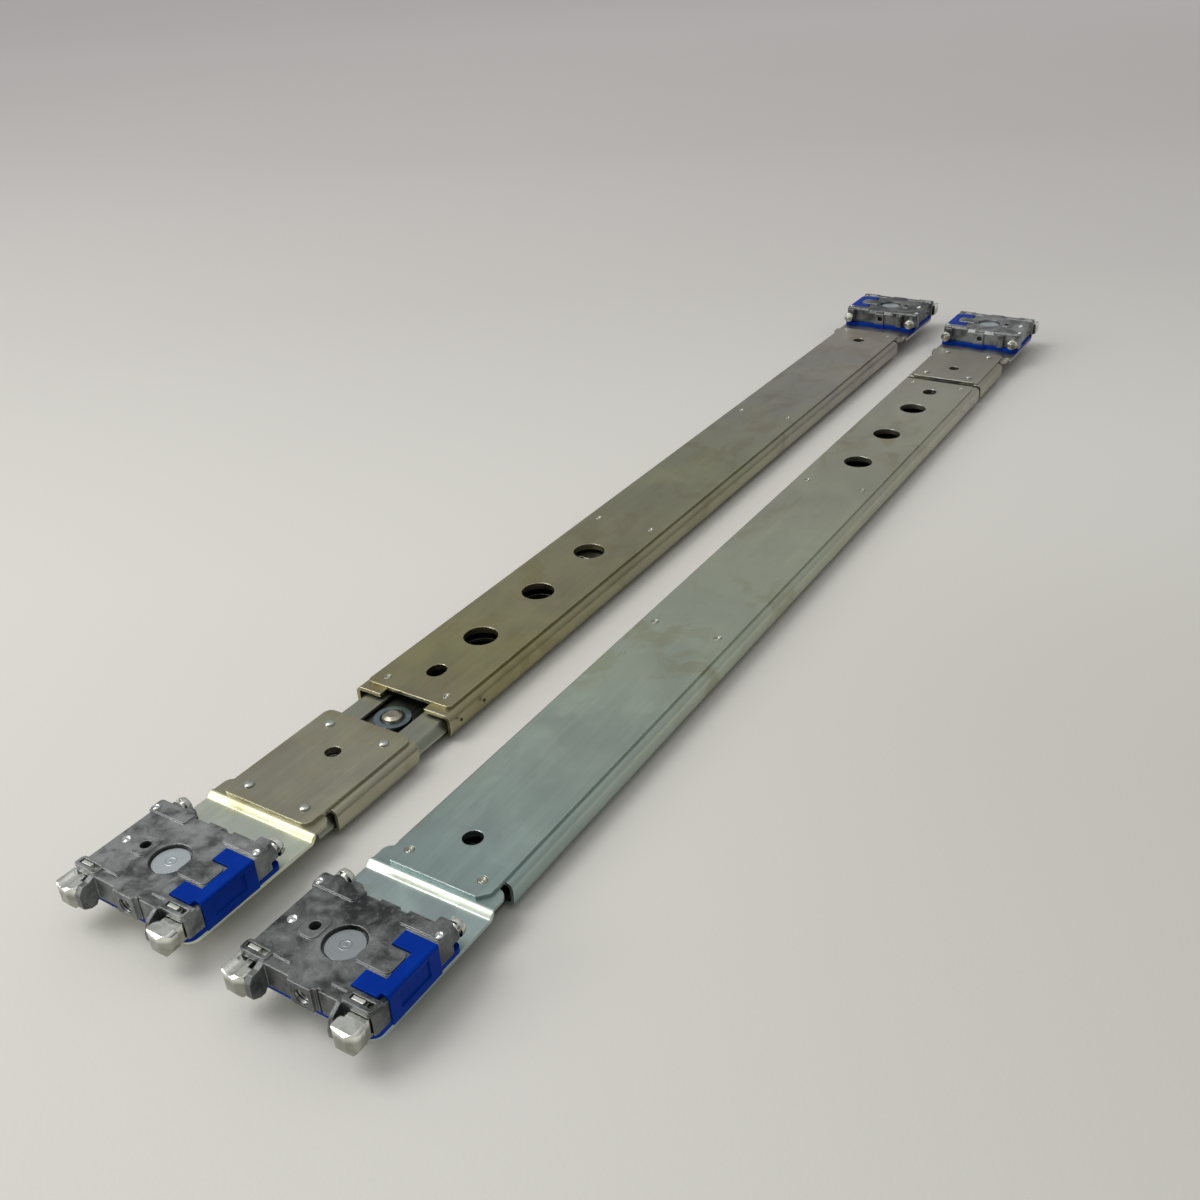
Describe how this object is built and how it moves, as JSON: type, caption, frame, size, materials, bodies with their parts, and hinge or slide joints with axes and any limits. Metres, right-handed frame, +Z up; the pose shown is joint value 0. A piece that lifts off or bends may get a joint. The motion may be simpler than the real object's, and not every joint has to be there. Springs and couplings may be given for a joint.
{
  "type": "sliding server rail pair",
  "caption": "Rack rail pair with ball-bearing slides, telescoping rear extensions, cast end brackets, sprung rack pins and blue latches.",
  "frame": {"origin": "on the surface the rails lie on, midway between them and midway along the pair", "axes": "+Y along the rails towards the rear end of the right rail, +X towards the right rail, +Z up from the surface, away from the server's side"},
  "size_m": [0.0924, 0.5134, 0.0155],
  "materials": {
    "zinc_plate_blue": "bluish zinc plating on sheet steel, satin, with faint yellow mottling",
    "zinc_plate_gold": "olive-gold zinc plating on sheet steel, satin",
    "steel_inner": "plain rolled slide steel under a thin film of grease",
    "ball_steel": "polished bearing steel",
    "cage_steel": "thin pressed steel",
    "rivet_steel": "bright zinc on steel, semi-gloss",
    "cast_zinc": "die-cast zinc, mottled grey, low sheen",
    "latch_blue": "royal blue moulded plastic, satin gloss",
    "pin_chrome": "bright nickel plate, glossy",
    "spring_steel": "spring wire"
  },
  "bodies": {
    "rails": {"left_cover_plate": "zinc_plate_gold", "left_cover_rivets": "rivet_steel", "left_main_channel": "zinc_plate_gold", "left_outer_slide": "steel_inner", "left_spacers": "rivet_steel", "left_guide_rivet": "rivet_steel", "left_front_casting": "cast_zinc", "left_front_hub_rivet": "rivet_steel", "left_front_dowel_pins": "rivet_steel", "left_front_bracket_springs": "spring_steel", "right_cover_plate": "zinc_plate_blue", "right_cover_rivets": "rivet_steel", "right_main_channel": "zinc_plate_blue", "right_outer_slide": "steel_inner", "right_spacers": "rivet_steel", "right_guide_rivet": "rivet_steel", "right_front_casting": "cast_zinc", "right_front_hub_rivet": "rivet_steel", "right_front_dowel_pins": "rivet_steel", "right_front_bracket_springs": "spring_steel"},
    "left_extension": {"left_extension_channel": "zinc_plate_gold", "left_extension_cover": "zinc_plate_gold", "left_extension_rivets": "rivet_steel", "left_extension_tongue": "steel_inner", "left_rear_casting": "cast_zinc", "left_rear_hub_rivet": "rivet_steel", "left_rear_dowel_pins": "rivet_steel", "left_rear_bracket_springs": "spring_steel"},
    "left_inner": {"left_inner_slide": "steel_inner"},
    "left_cage": {"left_ball_cage": "cage_steel", "left_balls": "ball_steel"},
    "left_front_latch": {"left_front_latch": "latch_blue", "left_front_lock_strip": "rivet_steel"},
    "left_front_left_pin": {"left_front_left_pin": "pin_chrome"},
    "left_front_right_pin": {"left_front_right_pin": "pin_chrome"},
    "left_rear_latch": {"left_rear_latch": "latch_blue", "left_rear_lock_strip": "rivet_steel"},
    "left_rear_left_pin": {"left_rear_left_pin": "pin_chrome"},
    "left_rear_right_pin": {"left_rear_right_pin": "pin_chrome"},
    "right_extension": {"right_extension_channel": "zinc_plate_blue", "right_extension_cover": "zinc_plate_blue", "right_extension_rivets": "rivet_steel", "right_extension_tongue": "steel_inner", "right_rear_casting": "cast_zinc", "right_rear_hub_rivet": "rivet_steel", "right_rear_dowel_pins": "rivet_steel", "right_rear_bracket_springs": "spring_steel"},
    "right_inner": {"right_inner_slide": "steel_inner"},
    "right_cage": {"right_ball_cage": "cage_steel", "right_balls": "ball_steel"},
    "right_front_latch": {"right_front_latch": "latch_blue", "right_front_lock_strip": "rivet_steel"},
    "right_front_left_pin": {"right_front_left_pin": "pin_chrome"},
    "right_front_right_pin": {"right_front_right_pin": "pin_chrome"},
    "right_rear_latch": {"right_rear_latch": "latch_blue", "right_rear_lock_strip": "rivet_steel"},
    "right_rear_left_pin": {"right_rear_left_pin": "pin_chrome"},
    "right_rear_right_pin": {"right_rear_right_pin": "pin_chrome"}
  },
  "joints": [
    {"name": "left_extension_slide", "type": "slide", "parent": "rails", "child": "left_extension", "axis": [0, -1, 0], "range_m": [-0.0133, 0.099]},
    {"name": "left_inner_slide_out", "type": "slide", "parent": "rails", "child": "left_inner", "axis": [0, 1, 0], "range_m": [0, 0.2]},
    {"name": "left_cage_roll", "type": "slide", "parent": "rails", "child": "left_cage", "axis": [0, 1, 0], "range_m": [0, 0.1]},
    {"name": "left_front_latch_pull", "type": "slide", "parent": "rails", "child": "left_front_latch", "axis": [-1, 0, 0], "range_m": [0, 0.0022], "stiffness_N_per_m": 600, "springref_m": -0.003, "deforming": ["left_front_bracket_springs"]},
    {"name": "left_front_left_pin_slide", "type": "slide", "parent": "rails", "child": "left_front_left_pin", "axis": [0, -1, 0], "range_m": [0, 0.0016], "stiffness_N_per_m": 800, "springref_m": -0.004, "deforming": ["left_front_bracket_springs"]},
    {"name": "left_front_right_pin_slide", "type": "slide", "parent": "rails", "child": "left_front_right_pin", "axis": [0, -1, 0], "range_m": [0, 0.0016], "stiffness_N_per_m": 800, "springref_m": -0.004, "deforming": ["left_front_bracket_springs"]},
    {"name": "left_rear_latch_pull", "type": "slide", "parent": "left_extension", "child": "left_rear_latch", "axis": [1, 0, 0], "range_m": [0, 0.0022], "stiffness_N_per_m": 600, "springref_m": -0.003, "deforming": ["left_rear_bracket_springs"]},
    {"name": "left_rear_left_pin_slide", "type": "slide", "parent": "left_extension", "child": "left_rear_left_pin", "axis": [0, 1, 0], "range_m": [0, 0.0016], "stiffness_N_per_m": 800, "springref_m": -0.004, "deforming": ["left_rear_bracket_springs"]},
    {"name": "left_rear_right_pin_slide", "type": "slide", "parent": "left_extension", "child": "left_rear_right_pin", "axis": [0, 1, 0], "range_m": [0, 0.0016], "stiffness_N_per_m": 800, "springref_m": -0.004, "deforming": ["left_rear_bracket_springs"]},
    {"name": "right_extension_slide", "type": "slide", "parent": "rails", "child": "right_extension", "axis": [0, 1, 0], "range_m": [-0.0023, 0.11]},
    {"name": "right_inner_slide_out", "type": "slide", "parent": "rails", "child": "right_inner", "axis": [0, -1, 0], "range_m": [0, 0.2]},
    {"name": "right_cage_roll", "type": "slide", "parent": "rails", "child": "right_cage", "axis": [0, -1, 0], "range_m": [0, 0.1]},
    {"name": "right_front_latch_pull", "type": "slide", "parent": "rails", "child": "right_front_latch", "axis": [1, 0, 0], "range_m": [0, 0.0022], "stiffness_N_per_m": 600, "springref_m": -0.003, "deforming": ["right_front_bracket_springs"]},
    {"name": "right_front_left_pin_slide", "type": "slide", "parent": "rails", "child": "right_front_left_pin", "axis": [0, 1, 0], "range_m": [0, 0.0016], "stiffness_N_per_m": 800, "springref_m": -0.004, "deforming": ["right_front_bracket_springs"]},
    {"name": "right_front_right_pin_slide", "type": "slide", "parent": "rails", "child": "right_front_right_pin", "axis": [0, 1, 0], "range_m": [0, 0.0016], "stiffness_N_per_m": 800, "springref_m": -0.004, "deforming": ["right_front_bracket_springs"]},
    {"name": "right_rear_latch_pull", "type": "slide", "parent": "right_extension", "child": "right_rear_latch", "axis": [-1, 0, 0], "range_m": [0, 0.0022], "stiffness_N_per_m": 600, "springref_m": -0.003, "deforming": ["right_rear_bracket_springs"]},
    {"name": "right_rear_left_pin_slide", "type": "slide", "parent": "right_extension", "child": "right_rear_left_pin", "axis": [0, -1, 0], "range_m": [0, 0.0016], "stiffness_N_per_m": 800, "springref_m": -0.004, "deforming": ["right_rear_bracket_springs"]},
    {"name": "right_rear_right_pin_slide", "type": "slide", "parent": "right_extension", "child": "right_rear_right_pin", "axis": [0, -1, 0], "range_m": [0, 0.0016], "stiffness_N_per_m": 800, "springref_m": -0.004, "deforming": ["right_rear_bracket_springs"]}
  ],
  "couplings": [
    {"joint": "left_cage_roll", "follows": "left_inner_slide_out", "ratio": 0.5},
    {"joint": "right_cage_roll", "follows": "right_inner_slide_out", "ratio": 0.5}
  ]
}
